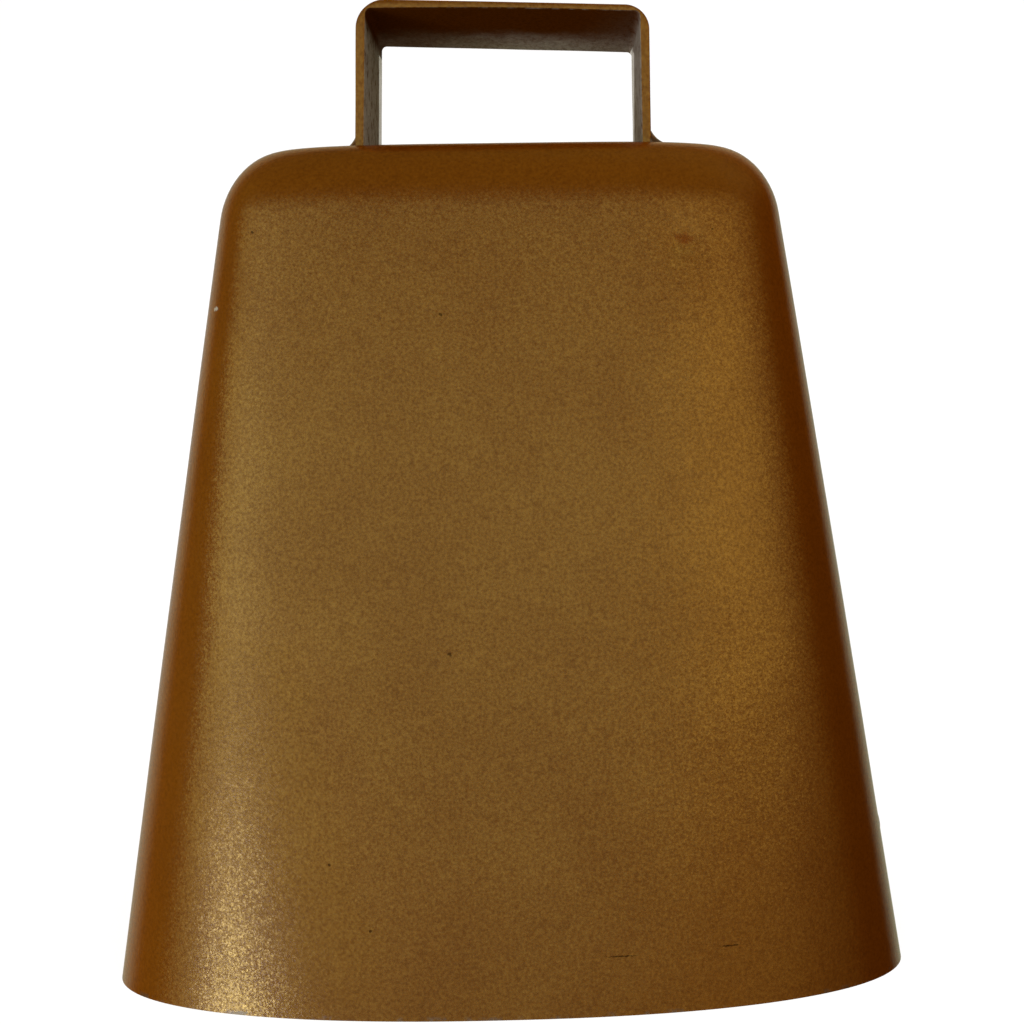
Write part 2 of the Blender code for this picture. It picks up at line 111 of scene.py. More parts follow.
STRAP_SHEET = 0.0016
BAR_SHEET = 0.00135           # the bar across is drawn thinner than the legs
STRAP_WIDTH = STRAP_HIGH.y - STRAP_LOW.y
HANDLE_HALF_WIDTH = 0.0247
HANDLE_MIDDLE = TOP_X + 0.0009
HANDLE_LEFT_RISE = 0.02485
HANDLE_RIGHT_RISE = 0.02265
HANDLE_LEFT_DRIFT = 0.0007
HANDLE_RIGHT_DRIFT = 0.0002
HANDLE_OUTER_BENDS = (0.0048, 0.0042)
HANDLE_INNER_BENDS = (0.0009, 0.0009)
BAR_THINNED = 0.00030         # the bar's front edge is this much thinner at the right end
BAR_END_THICKENED = 0.00040   # and this much thicker at the left end
BAR_THICKENED = 0.00015       # the bar's back edge is this much thicker
BAR_FADE = (0.0018, 0.0001)   # the bar's own thickness comes in between these depths under it
STRAP_RIPPLE = 0.00006
STRAP_RIPPLE_SIZE = 0.011
HANDLE_STEP = 0.0010
STRAP_EDGE = 0.00022
FOOT_Z = TOP_Z - 0.0009       # the strap's feet reach into the crowned, slightly tilted top
WELD_WIDTH = 0.0033
WELD_HEIGHT = 0.0037
WELD_HOLLOW = 1.5             # 1 would be a straight fillet
WELD_BITE = 0.0002            # the weld reaches this far into the strap and the top
WELD_TAPER = 9                # a higher power thins the ends later
WELD_RIPPLE = 0.16
WELD_RIPPLE_SIZE = 0.0021

# ---- clapper ---------------------------------------------

STAPLE_WIRE = 0.0018
LINK_WIRE = 0.0016
STEM_WIRE = 0.0024
STAPLE_HALF_SPAN = 0.0090
STAPLE_BEND = 0.0040
STAPLE_HEAD = 0.0034
STAPLE_HEAD_RISE = 0.0019
STAPLE_STEP = 0.0010
LINK_HALF_WIDTH = 0.0050
LINK_OPENING = 0.0004
EYE_RADIUS = 0.0056
EYE_NECK = 0.0045
EYE_END = math.radians(205.0)
BALL_RADIUS = 0.5 * (BALL_HIGH.z - BALL_LOW.z)
BALL_CENTRE = Vector((TOP_X, 0.0, 0.5 * (BALL_HIGH.z + BALL_LOW.z)))
CLEARANCE = 0.0003
STEM_COLLAR = 0.0036
STEM_COLLAR_HEIGHT = 0.0016
BORE_EDGE = 0.0004            # the broken edges of the ball's bore

# ---- mesh density ----------------------------------------

WALL_ROWS = 56
SHOULDER_ROWS = 16
CAP_ROWS = 14
ARC_COLUMNS = 120
LAP_STEP = 0.0012
JOGGLE_COLUMNS = 8
RING_SAMPLES = 400
WIRE_SIDES = 32
BALL_SIDES = 64
BALL_STEPS = 40
DOME_STEPS = 8
STRAP_SPANS = 20
STRAP_CORNER_STEPS = 4
WELD_STATIONS = 60
WELD_FACE_STEPS = 8
BEND_STEPS = 24
SHARP_ANGLE = math.radians(40.0)
EASED_ANGLE = math.radians(55.0)

UP = Vector((0.0, 0.0, 1.0))
AHEAD = Vector((0.0, 1.0, 0.0))
RIGHT = Vector((1.0, 0.0, 0.0))


# ---- mesh helpers ----------------------------------------

def placed(name, data):
    """A new object in the scene that shows its data."""
    thing = bpy.data.objects.new(name, data)
    bpy.context.scene.collection.objects.link(thing)
    return thing


def smooth_mesh(name, bm, material):
    """A smoothly shaded mesh of one material, made from a bmesh that is then freed."""
    mesh = bpy.data.meshes.new(name)
    bm.to_mesh(mesh)
    bm.free()
    mesh.shade_smooth()
    mesh.materials.append(material)
    return mesh


def finish_mesh(name, bm, body, node, material):
    """Turns a bmesh into a smooth piece that rides on a body and stands for a CAD node."""
    bmesh.ops.remove_doubles(bm, verts=bm.verts, dist=1e-7)
    bmesh.ops.recalc_face_normals(bm, faces=bm.faces)
    mesh = smooth_mesh(name, bm, material)
    mesh.set_sharp_from_angle(angle=SHARP_ANGLE)
    piece = placed(name, mesh)
    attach(piece, body)
    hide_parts(node)
    return piece


def ease_edges(piece, width):
    """Rounds the sharp edges of a piece."""
    bevel = piece.modifiers.new("eased_edges", "BEVEL")
    bevel.width = width
    bevel.segments = 2
    bevel.limit_method = "ANGLE"
    bevel.angle_limit = EASED_ANGLE
    bevel.use_clamp_overlap = True
    bevel.harden_normals = False


def skin_rings(bm, rings, closed=False):
    """Quads between successive rings of points; open skins get an end face on each side."""
    rows = [[bm.verts.new(point) for point in ring] for ring in rings]
    pairs = list(zip(rows, rows[1:]))
    if closed:
        pairs.append((rows[-1], rows[0]))
    else:
        bm.faces.new(rows[0])
        bm.faces.new(rows[-1])
    for near, far in pairs:
        count = len(near)
        for i in range(count):
            j = (i + 1) % count
            bm.faces.new((near[i], near[j], far[j], far[i]))
    return rows


def ring_piece(name, rings, body, node, material, closed=False):
    """A piece that is one skin over rings of points."""
    bm = bmesh.new()
    skin_rings(bm, rings, closed)
    finish_mesh(name, bm, body, node, material)


def circle_ring(centre, normal, side, radius, sides=WIRE_SIDES):
    """Points round a circle square to its normal, starting at its side."""
    other = normal.cross(side)
    ring = []
    for i in range(sides):
        angle = 2.0 * math.pi * i / sides
        ring.append(centre + radius * (math.cos(angle) * side + math.sin(angle) * other))
    return ring


def arc_points(centre, across, start, radius, sweep, steps=BEND_STEPS):
    """Points round a centre, from the direction start, turning about across."""
    other = across.cross(start)
    points = []
    for i in range(steps + 1):
        angle = sweep * i / steps
        points.append(centre + radius * (math.cos(angle) * start + math.sin(angle) * other))
    return points


def rounded_path(corners, bends):
    """A path through corner points whose inner corners are rounded, each to its own radius."""
    path = [corners[0]]
    for before, corner, after, radius in zip(corners, corners[1:], corners[2:], bends):
        to_before = (before - corner).normalized()
        to_after = (after - corner).normalized()
        half_turn = 0.5 * to_before.angle(to_after)
        centre = corner + (to_before + to_after).normalized() * radius / math.sin(half_turn)
        reach = radius / math.tan(half_turn)
        start = (corner + to_before * reach - centre).normalized()
        end = (corner + to_after * reach - centre).normalized()
        across = start.cross(end).normalized()
        path += arc_points(centre, across, start, radius, start.angle(end))
    path.append(corners[-1])
    return path


def filled_in(path, step):
    """The same path with extra points along its long straight runs."""
    points = [path[0]]
    for start, end in zip(path, path[1:]):
        pieces = max(1, round((end - start).length / step))
        for i in range(1, pieces + 1):
            points.append(start.lerp(end, i / pieces))
    return points


def tangents(path):
    """Unit directions along a path, at each of its points."""
    last = len(path) - 1
    directions = []
    for i, point in enumerate(path):
        before = (point - path[i - 1]).normalized() if i > 0 else Vector()
        after = (path[i + 1] - point).normalized() if i < last else Vector()
        directions.append((before + after).normalized())
    return directions


def dome(base, rise, radius):
    """Pairs of (distance along the axis, radius) of a rounded head, from rim to crown."""
    pairs = []
    for i in range(DOME_STEPS + 1):
        turn = 0.5 * math.pi * i / DOME_STEPS
        pairs.append((base + rise * math.sin(turn), radius * max(math.cos(turn), 0.04)))
    return pairs


def ripple(point, size, amount):
    """A small smooth random offset that depends only on the place."""
    return amount * noise.noise(point / size)


# ---- bell body -------------------------------------------

def body_ring(level):
    """Half width, half depth, squareness and height of the outer surface at a level.

    Levels 0 to 1 climb the wall and levels 1 to 2 turn over the shoulder to the flat top.
    """
    turn = max(level - 1.0, 0.0) * 0.5 * math.pi
    wall_top = BODY_HEIGHT - SHOULDER_HEIGHT
    height = wall_top * min(level, 1.0) + SHOULDER_HEIGHT * math.sin(turn)
    tuck = 1.0 - math.cos(turn)
    half_width = MOUTH_HALF_WIDTH - height * math.tan(SIDE_LEAN) - SHOULDER_SIDE * tuck
    half_depth = MOUTH_HALF_DEPTH - height * math.tan(FACE_LEAN) - SHOULDER_FACE * tuck
    share = height / BODY_HEIGHT
    squareness = MOUTH_SQUARENESS + (TOP_SQUARENESS - MOUTH_SQUARENESS) * share
    return half_width, half_depth, squareness, height


def body_point(level, angle):
    """A point of the outer surface; higher up it drifts to +X and dips on that side."""
    half_width, half_depth, squareness, height = body_ring(level)
    cos, sin = math.cos(angle), math.sin(angle)
    x = math.copysign(half_width * abs(cos) ** (2.0 / squareness), cos)
    y = math.copysign(half_depth * abs(sin) ** (2.0 / squareness), sin)
    sag = TOP_TILT * x * (height / BODY_HEIGHT) ** 3
    return Vector((x + height * AXIS_DRIFT, y, height - sag))


def body_normal(level, angle):
    """Outward unit normal: square to the ring's tangent and to the way up the wall."""
    half_width, half_depth, squareness, _ = body_ring(level)
    cos, sin = math.cos(angle), math.sin(angle)
    power = 2.0 - 2.0 / squareness
    across = Vector((
        math.copysign(abs(cos) ** power / half_width, cos),
        math.copysign(abs(sin) ** power / half_depth, sin),
        0.0,
    )).normalized()
    step = 1e-4
    upward = body_point(min(level + step, 2.0), angle) - body_point(max(level - step, 0.0), angle)
    return Vector((across.x * upward.z, across.y * upward.z, -across.dot(upward))).normalized()


def angle_at_depth(level, depth):
    """The ring angle, on the +X side, at which the outer surface lies at a depth Y."""
    _, half_depth, squareness, _ = body_ring(level)
    share = abs(depth) / half_depth
    return math.copysign(math.asin(share ** (0.5 * squareness)), depth)


def even_angles(level, depth, count):
    """Ring angles evenly spaced along the surface, from a seam depth at +X to the far middle."""
    half_width, half_depth, squareness, _ = body_ring(level)
    corner = 0.5 ** (1.0 / squareness)
    start = depth / half_depth
    dense = []
    for i in range(RING_SAMPLES):
        share = start + (corner - start) * i / RING_SAMPLES
        dense.append(math.copysign(math.asin(abs(share) ** (0.5 * squareness)), share))
    for i in range(RING_SAMPLES + 1):
        share = corner * (1.0 - i / RING_SAMPLES)
        dense.append(math.acos(share ** (0.5 * squareness)))
    points = [body_point(level, angle) for angle in dense]
    travelled = [0.0]
    for near, far in zip(points, points[1:]):
        travelled.append(travelled[-1] + (far - near).length)
    angles = []
    k = 0
    for i in range(1, count + 1):
        goal = travelled[-1] * i / count
        while k < len(travelled) - 2 and travelled[k + 1] < goal:
            k += 1
        share = (goal - travelled[k]) / max(travelled[k + 1] - travelled[k], 1e-12)
        angles.append(dense[k] + (dense[k + 1] - dense[k]) * min(share, 1.0))
    return angles


def shell_columns(level, seam_depths):
    """Ring angles of one half shell lying towards +Y, from its +X seam edge to its -X one."""
    seam = [angle_at_depth(level, depth) for depth in seam_depths]
    arc = even_angles(level, seam_depths[-1], ARC_COLUMNS // 2)
    near_side = seam + arc
    return near_side + [math.pi - angle for angle in reversed(near_side[:-1])]


def smooth_share(value, start, end):
    """0 before the start, 1 after the end, and a smooth step between them."""
    share = min(max((value - start) / (end - start), 0.0), 1.0)
    return share * share * (3.0 - 2.0 * share)


def joggle_offset(depth):
    """How far the back shell's outer face is sunk at a depth: one sheet and a gap in the lap."""
    return (SHEET + LAP_GAP) * (1.0 - smooth_share(depth, JOGGLE_START, JOGGLE_END))


def press_marks(point, facing):
    """How far the real sheet lies below the ideal form at a point."""
    place = Vector((point.x, point.y * facing, point.z))
    sunk = 0.0
    for size, share in zip(UNEVEN_SIZES, (1.0, 0.35)):
        sunk += share * UNEVENNESS * (0.5 + 0.5 * noise.noise(place / size))
    if facing < 0:
        away = math.hypot(place.x - DENT.x, place.z - DENT.z) / DENT_RADIUS
        sunk += DENT_DEPTH * math.exp(-away * away)
    return sunk


def shell_surface(facing, seam_depths, offset_at, extra):
    """Rows of points of one face of the sheet, sunk below the outer surface by its offset."""
    rows = []
    levels = [i / WALL_ROWS for i in range(WALL_ROWS)]
    levels += [1.0 + i / SHOULDER_ROWS for i in range(SHOULDER_ROWS + 1)]
    for level in levels:
        row = []
        for angle in shell_columns(level, seam_depths):
            point = body_point(level, angle)
            sunk = offset_at(point.y) + extra + press_marks(point, facing)
            point -= body_normal(level, angle) * sunk
            point.z *= min(level * WALL_ROWS, 1.0)
            row.append(point)
        rows.append(row)
    edge = rows[-1]
    pole_depth = seam_depths[-1]
    for i in range(1, CAP_ROWS + 1):
        share = 1.0 - i / CAP_ROWS
        row = []
        for point in edge:
            x = TOP_X + (point.x - TOP_X) * share
            y = pole_depth + (point.y - pole_depth) * share if point.y > pole_depth else point.y
            level_out = TOP_TILT * (point.x - x)
            row.append(Vector((x, y, point.z + level_out + TOP_CROWN * (1.0 - share * share))))
        rows.append(row)
    return rows


def half_shell(node, facing, seam_depths, offset_at, material):
    """One pressed half shell. facing is -1 for the front half and +1 for the back half."""
    bm = bmesh.new()
    inside = bm.verts.layers.float.new("inside")
    grids = []
    for extra, is_inside in ((0.0, 0.0), (SHEET, 1.0)):
        rows = []
        for row in shell_surface(facing, seam_depths, offset_at, extra):
            verts = [bm.verts.new((p.x, p.y * facing, p.z)) for p in row]
            for vert in verts:
                vert[inside] = is_inside
            rows.append(verts)
        for low, high in zip(rows, rows[1:]):
            for i in range(len(low) - 1):
                bm.faces.new((low[i], low[i + 1], high[i + 1], high[i]))
        grids.append(rows)
    outer, inner = grids
    for i in range(len(outer[0]) - 1):
        bm.faces.new((outer[0][i], outer[0][i + 1], inner[0][i + 1], inner[0][i]))
    for low_out, high_out, low_in, high_in in zip(outer, outer[1:], inner, inner[1:]):
        for side in (0, -1):
            bm.faces.new((low_out[side], high_out[side], high_in[side], low_in[side]))
    shell = finish_mesh(node + "_skin", bm, "bell", node, material)
    ease_edges(shell, RIM_EASE)
    return shell


def spread(start, end, step):
    """Evenly spaced values from start to end, about a step apart."""
    count = max(1, round((end - start) / step))
    return [start + (end - start) * i / count for i in range(count + 1)]


def build_shells(material):
    joggle = spread(JOGGLE_START, JOGGLE_END, (JOGGLE_END - JOGGLE_START) / JOGGLE_COLUMNS)
    back_depths = spread(BACK_SHELL_EDGE, JOGGLE_START, LAP_STEP)[:-1] + joggle
    front_depths = spread(-FRONT_SHELL_EDGE, -BACK_SHELL_EDGE, LAP_STEP)
    half_shell("front_shell", -1, front_depths, lambda depth: 0.0, material)
    half_shell("back_shell", 1, back_depths, joggle_offset, material)


# ---- rivets ----------------------------------------------

def build_rivet(name, side, height, material):
    """A hand-set rivet whose head is slightly out of round and lies on the sheet."""
    level = height / (BODY_HEIGHT - SHOULDER_HEIGHT)
    angle = angle_at_depth(level, RIVET_LINE)
    if side < 0:
        angle = math.pi - angle
    seat, axis = body_point(level, angle), body_normal(level, angle)
    across = axis.orthogonal().normalized()
    profile = list(reversed(dome(-RIVET_BED, RIVET_HEAD_RISE + RIVET_BED, RIVET_HEAD)))
    profile += [(-RIVET_BED, RIVET_SHANK), (-LAPPED_SHEETS, RIVET_SHANK)]
    profile += dome(-LAPPED_SHEETS, -RIVET_TAIL_RISE, RIVET_TAIL)
    rings = []
    for along, radius in profile:
        ring = circle_ring(seat + axis * along, axis, across, radius)
        if radius > RIVET_SHANK:
            centre = seat + axis * along
            ring = [p + (p - centre) * ripple(p, RIVET_RIPPLE_SIZE, RIVET_RIPPLE) for p in ring]
        rings.append(ring)
    ring_piece(name + "_set", rings, "bell", name, material)


def build_rivets(material):
    for side, side_name in ((-1, "left"), (1, "right")):
        for place, height in RIVET_HEIGHTS.items():
            build_rivet(f"rivet_{side_name}_{place}", side, height, material)


# ---- handle ----------------------------------------------

def handle_line(leg_inset, bar_inset, bends):
    """A line round the loop in the XZ plane, at these depths below its outer surface."""
    left = HANDLE_MIDDLE - HANDLE_HALF_WIDTH + leg_inset
    right = HANDLE_MIDDLE + HANDLE_HALF_WIDTH - leg_inset
    left_bar = BODY_HEIGHT + HANDLE_LEFT_RISE - bar_inset
    right_bar = BODY_HEIGHT + HANDLE_RIGHT_RISE - bar_inset
    corners = [
        Vector((left, 0.0, FOOT_Z)),
        Vector((left + HANDLE_LEFT_DRIFT, 0.0, left_bar)),
        Vector((right + HANDLE_RIGHT_DRIFT, 0.0, right_bar)),
        Vector((right, 0.0, FOOT_Z)),
    ]
    return rounded_path(corners, bends)


def handle_stations():
    """Matching points of the loop's outer and inner lines, from the left foot to the right."""
    outer = handle_line(0.0, 0.0, HANDLE_OUTER_BENDS)
    inner = handle_line(STRAP_SHEET, BAR_SHEET, HANDLE_INNER_BENDS)
    stations = [(outer[0], inner[0])]
    for out_near, out_far, in_near, in_far in zip(outer, outer[1:], inner, inner[1:]):
        pieces = max(1, round((out_far - out_near).length / HANDLE_STEP))
        for i in range(1, pieces + 1):
            share = i / pieces
            stations.append((out_near.lerp(out_far, share), in_near.lerp(in_far, share)))
    return stations


def bar_height(across):
    """Height of the bar's inner face, from 0 at the handle's left to 1 at its right."""
    rise = HANDLE_LEFT_RISE + (HANDLE_RIGHT_RISE - HANDLE_LEFT_RISE) * across
    return BODY_HEIGHT + rise - BAR_SHEET


def strap_section():
    """Points round the strap's cross-section, as (face, tuck, depth, bare, worn).

    face is 1 outside the loop and -1 inside it, tuck is the depth below that face, bare is 1
    where the paint is thin, and worn is 1 on the front edge inside the loop, which is worn to
    steel and painted lighter as a highlight line.
    """
    flat = 0.5 * STRAP_WIDTH - STRAP_EDGE
    points = []
    for face in (1, -1):
        bare = 0.0 if face > 0 else 1.0
        corner = []
        for i in range(STRAP_CORNER_STEPS + 1):
            turn = 0.5 * math.pi * i / STRAP_CORNER_STEPS
            tuck = STRAP_EDGE * (1.0 - math.cos(turn))
            thin = bare if i < STRAP_CORNER_STEPS else 0.0
            corner.append((tuck, flat + STRAP_EDGE * math.sin(turn), thin))
        for tuck, depth, thin in reversed(corner):
            points.append((face, tuck, -face * depth, thin, 0.0))
        for i in range(1, STRAP_SPANS):
            points.append((face, 0.0, face * flat * (2.0 * i / STRAP_SPANS - 1.0), bare, 0.0))
        for i, (tuck, depth, thin) in enumerate(corner):
            worn = bare if 0 < i < STRAP_CORNER_STEPS else 0.0
            points.append((face, tuck, face * depth, thin, worn))
    return points


def build_handle(material):
    """Strap bent over a sharp edge: its corners are rounder outside than inside.

    The inner face of the bar is raised or lowered, as the bar's thickness is uneven.
    """
    section = strap_section()
    rings = []
    for outer, inner in handle_stations():
        middle = 0.5 * (outer + inner)
        half_sheet = 0.5 * (outer - inner).length
        outward = (outer - inner).normalized()
        across = 0.5 + 0.5 * (inner.x - HANDLE_MIDDLE) / HANDLE_HALF_WIDTH
        across = min(max(across, 0.0), 1.0)
        thinned = BAR_THINNED - (BAR_THINNED + BAR_END_THICKENED) * (1.0 - across) ** 3
        under_bar = bar_height(across)
        on_bar = smooth_share(inner.z, under_bar - BAR_FADE[0], under_bar - BAR_FADE[1])
        ring = []
        for face, tuck, depth, _, _ in section:
            place = middle + outward * face * (half_sheet - tuck) + AHEAD * depth
            if face < 0:
                share = 0.5 + depth / STRAP_WIDTH
                place += UP * on_bar * (thinned * (1.0 - share) - BAR_THICKENED * share)
            ring.append(place + outward * ripple(place, STRAP_RIPPLE_SIZE, STRAP_RIPPLE))
        rings.append(ring)
    bm = bmesh.new()
    bare = bm.verts.layers.float.new("bare")
    worn = bm.verts.layers.float.new("worn")
    for row in skin_rings(bm, rings):
        for vert, (_, _, _, thin, rubbed_and_highlight) in zip(row, section):
            vert[bare] = thin
            vert[worn] = rubbed_and_highlight
    finish_mesh("handle_strap_bar", bm, "bell", "handle_strap", material)


def build_weld(side, material):
    """A hollow-faced fillet along the outside of one foot, uneven and thinning at its ends."""
    name = "handle_weld_" + ("left" if side < 0 else "right")
    corner_x = HANDLE_MIDDLE + side * (HANDLE_HALF_WIDTH - WELD_BITE)
    rings = []
    for i in range(WELD_STATIONS + 1):
        share = 2.0 * i / WELD_STATIONS - 1.0
        y = share * 0.5 * STRAP_WIDTH
        size = math.sqrt(max(1.0 - abs(share) ** WELD_TAPER, 0.05))
        size *= 1.0 + ripple(Vector((corner_x, y, 0.0)), WELD_RIPPLE_SIZE, WELD_RIPPLE)
        width, height = WELD_WIDTH * size, WELD_HEIGHT * size
        ring = [Vector((corner_x, y, FOOT_Z)), Vector((corner_x + side * width, y, FOOT_Z))]
        for k in range(1, WELD_FACE_STEPS):
            share = k / WELD_FACE_STEPS
            out = width * (1.0 - share) ** WELD_HOLLOW
            up = height * share ** WELD_HOLLOW
            ring.append(Vector((corner_x + side * out, y, FOOT_Z + WELD_BITE + up)))
        ring.append(Vector((corner_x, y, FOOT_Z + height)))
        rings.append(ring)
    ring_piece(name + "_bead", rings, "bell", name, material)


# ---- clapper ---------------------------------------------

def wire_rings(path, radius, across):
    """Rings of a round wire along a path that lies square to across."""
    return [
        circle_ring(point, along, across, radius) for point, along in zip(path, tangents(path))
    ]


def build_staple(material):
    """U of round wire through the top; both ends are headed over on the outside."""
    head_base = TOP_Z - 0.0001
    left, right = TOP_X - STAPLE_HALF_SPAN, TOP_X + STAPLE_HALF_SPAN
    corners = [
        Vector((left, 0.0, head_base)),
        Vector((left, 0.0, STAPLE_PIVOT.z)),
        Vector((right, 0.0, STAPLE_PIVOT.z)),
        Vector((right, 0.0, head_base)),
    ]
    path = filled_in(rounded_path(corners, [STAPLE_BEND, STAPLE_BEND]), STAPLE_STEP)
    head = dome(head_base, STAPLE_HEAD_RISE, STAPLE_HEAD)
    rings = [circle_ring(Vector((left, 0.0, z)), -UP, AHEAD, r) for z, r in reversed(head)]
    rings += wire_rings(path, STAPLE_WIRE, AHEAD)
    rings += [circle_ring(Vector((right, 0.0, z)), UP, AHEAD, r) for z, r in head]
    ring_piece("clapper_staple_wire", rings, "bell", "clapper_staple", material)


def build_link(material):
    """Open wire link in the YZ plane: over the staple's bar, and carrying the stem's eye."""
    upper = STAPLE_PIVOT.z + STAPLE_WIRE + CLEARANCE + LINK_WIRE - LINK_HALF_WIDTH
    lower = CLAPPER_PIVOT.z + LINK_HALF_WIDTH
    middle = 0.5 * (upper + lower)
    over, under = Vector((TOP_X, 0.0, upper)), Vector((TOP_X, 0.0, lower))
    path = [Vector((TOP_X, LINK_HALF_WIDTH, middle + 0.5 * LINK_OPENING))]
    path += arc_points(over, RIGHT, AHEAD, LINK_HALF_WIDTH, math.pi, 2 * BEND_STEPS)
    path += arc_points(under, RIGHT, -AHEAD, LINK_HALF_WIDTH, math.pi, 2 * BEND_STEPS)
    path.append(Vector((TOP_X, LINK_HALF_WIDTH, middle - 0.5 * LINK_OPENING)))
    rings = wire_rings(path, LINK_WIRE, RIGHT)
    ring_piece("clapper_link_wire", rings, "link", "clapper_link", material)


def build_stem(material):
    """Rod bent into an eye in the XZ plane; a collar and a swaged foot hold the ball on it."""
    eye_z = CLAPPER_PIVOT.z + LINK_WIRE + CLEARANCE + STEM_WIRE - EYE_RADIUS
    reach = EYE_RADIUS + EYE_NECK
    neck_z = eye_z - math.sqrt(reach * reach - EYE_NECK * EYE_NECK)
    neck_turn = math.atan2(eye_z - neck_z, EYE_NECK)
    ball_top = BALL_CENTRE.z + BALL_RADIUS + CLEARANCE
    ball_foot = BALL_CENTRE.z - BALL_RADIUS - CLEARANCE
    column = list(reversed(dome(ball_foot, -STEM_COLLAR_HEIGHT, STEM_COLLAR)))
    column += [(ball_foot, STEM_WIRE), (ball_top, STEM_WIRE)]
    column += [(ball_top, STEM_COLLAR), (ball_top + 0.6 * STEM_COLLAR_HEIGHT, STEM_COLLAR)]
    column += [(ball_top + STEM_COLLAR_HEIGHT, STEM_WIRE)]
    rings = [circle_ring(Vector((TOP_X, 0.0, z)), UP, -AHEAD, r) for z, r in column]
    neck_centre = Vector((TOP_X + EYE_NECK, 0.0, neck_z))
    eye_centre = Vector((TOP_X, 0.0, eye_z))
    bent = arc_points(neck_centre, AHEAD, -RIGHT, EYE_NECK, neck_turn)
    start = -neck_turn
    eye_steps = 3 * BEND_STEPS
    for i in range(1, eye_steps + 1):
        angle = start + (EYE_END - start) * i / eye_steps
        bent.append(eye_centre + Vector((math.cos(angle), 0.0, math.sin(angle))) * EYE_RADIUS)
    rings += wire_rings(bent, STEM_WIRE, -AHEAD)
    ring_piece("clapper_stem_rod", rings, "clapper", "clapper_stem", material)


def build_ball(material):
    """Steel ball drilled through for the stem, its bore's edges broken."""
    bore = STEM_WIRE + CLEARANCE
    start = math.asin((bore + BORE_EDGE) / BALL_RADIUS)
    profile = []
    for i in range(BALL_STEPS + 1):
        angle = start + (math.pi - 2.0 * start) * i / BALL_STEPS
        profile.append((BALL_RADIUS * math.cos(angle), BALL_RADIUS * math.sin(angle)))
    foot = profile[-1][0] + BORE_EDGE
    profile += [(foot, bore), (-foot, bore)]
    rings = [
        circle_ring(BALL_CENTRE + UP * along, UP, RIGHT, radius, BALL_SIDES)
        for along, radius in profile
    ]
    ring_piece(
        "clapper_ball_drilled", rings, "clapper", "clapper_ball", material,
        closed=True,
    )


# ---- shader helpers --------------------------------------

class Graph:
    """Short calls that add linked nodes to one node tree."""

    def __init__(self, tree):
        tree.nodes.clear()
        self.tree = tree

    def add(self, kind, inputs=None, **settings):
        """A new node; an input given as a socket is linked, and any other is set to its value."""
        node = self.tree.nodes.new(kind)
        for key, value in settings.items():
            setattr(node, key, value)
        for key, value in (inputs or {}).items():
            if isinstance(value, bpy.types.NodeSocket):
                self.tree.links.new(value, node.inputs[key])
            else:
                node.inputs[key].default_value = value
        return node

    def math(self, operation, a, b=0.0):
        return self.add("ShaderNodeMath", {0: a, 1: b}, operation=operation).outputs[0]

    def ramp(self, value, low, high, to_low=0.0, to_high=1.0):
        """A smooth step of a value from low to high; it gives to_low before and to_high after."""
        node = self.add("ShaderNodeMapRange", {
            "Value": value, "From Min": low, "From Max": high, "To Min": to_low, "To Max": to_high,
        }, interpolation_type="SMOOTHSTEP")
        return node.outputs["Result"]

    def hump(self, value, centre, reach):
        """1 at a value's centre, falling smoothly to 0 at its reach on either side."""
        away = self.math("ABSOLUTE", self.math("SUBTRACT", value, centre))
        return self.ramp(away, 0.0, reach, 1.0, 0.0)

    def noise(self, vector, size, detail=2.0, roughness=0.5):
        """Fractal noise round 0.5, with blobs of about a size in metres."""
        inputs = {"Vector": vector, "Scale": 1.0 / size, "Detail": detail, "Roughness": roughness}
        return self.add("ShaderNodeTexNoise", inputs).outputs["Fac"]

    def blend(self, factor, a, b):
        node = self.add("ShaderNodeMix", {0: factor, 6: a, 7: b}, data_type="RGBA")
        return node.outputs[2]

    def total(self, *values):
        """The sum of plain values and sockets."""
        result = values[0]
        for value in values[1:]:
            result = self.math("ADD", result, value)
        return result

    def product(self, *values):
        """The product of plain values and sockets."""
        result = values[0]
        for value in values[1:]:
            result = self.math("MULTIPLY", result, value)
        return result

    def vector(self, operation, a, b=(0.0, 0.0, 0.0)):
        return self.add("ShaderNodeVectorMath", {0: a, 1: b}, operation=operation).outputs[0]

    def scaled(self, vector, value):
        """A vector or a colour made larger or smaller by a plain value."""
        inputs = {0: vector, "Scale": value}
        return self.add("ShaderNodeVectorMath", inputs, operation="SCALE").outputs[0]

    def bump(self, height, distance, normal=None):
        inputs = {"Height": height, "Distance": distance, "Strength": 1.0}
        if normal is not None:
            inputs["Normal"] = normal
        return self.add("ShaderNodeBump", inputs).outputs[0]

    def parts(self, vector):
        return self.add("ShaderNodeSeparateXYZ", {0: vector}).outputs

    def attribute(self, name):
        return self.add("ShaderNodeAttribute", attribute_name=name).outputs["Fac"]

    def coords(self):
        return self.add("ShaderNodeTexCoord").outputs["Object"]

    def shader_mix(self, factor, a, b):
        return self.add("ShaderNodeMixShader", {0: factor, 1: a, 2: b}).outputs[0]

    def matt(self, colour, tone):
        """A rough dry surface whose colour is made lighter or darker by its tone."""
        return self.add("ShaderNodeBsdfPrincipled", {
            "Base Color": self.scaled(colour, tone), "Roughness": 0.85, "Specular IOR Level": 0.0,
        }).outputs[0]

    def surface(self, shader):
        self.add("ShaderNodeOutputMaterial", {"Surface": shader})


def new_material(name):
    material = bpy.data.materials.new(name)
    material.use_nodes = True
    return material, Graph(material.node_tree)


# ---- finishes --------------------------------------------

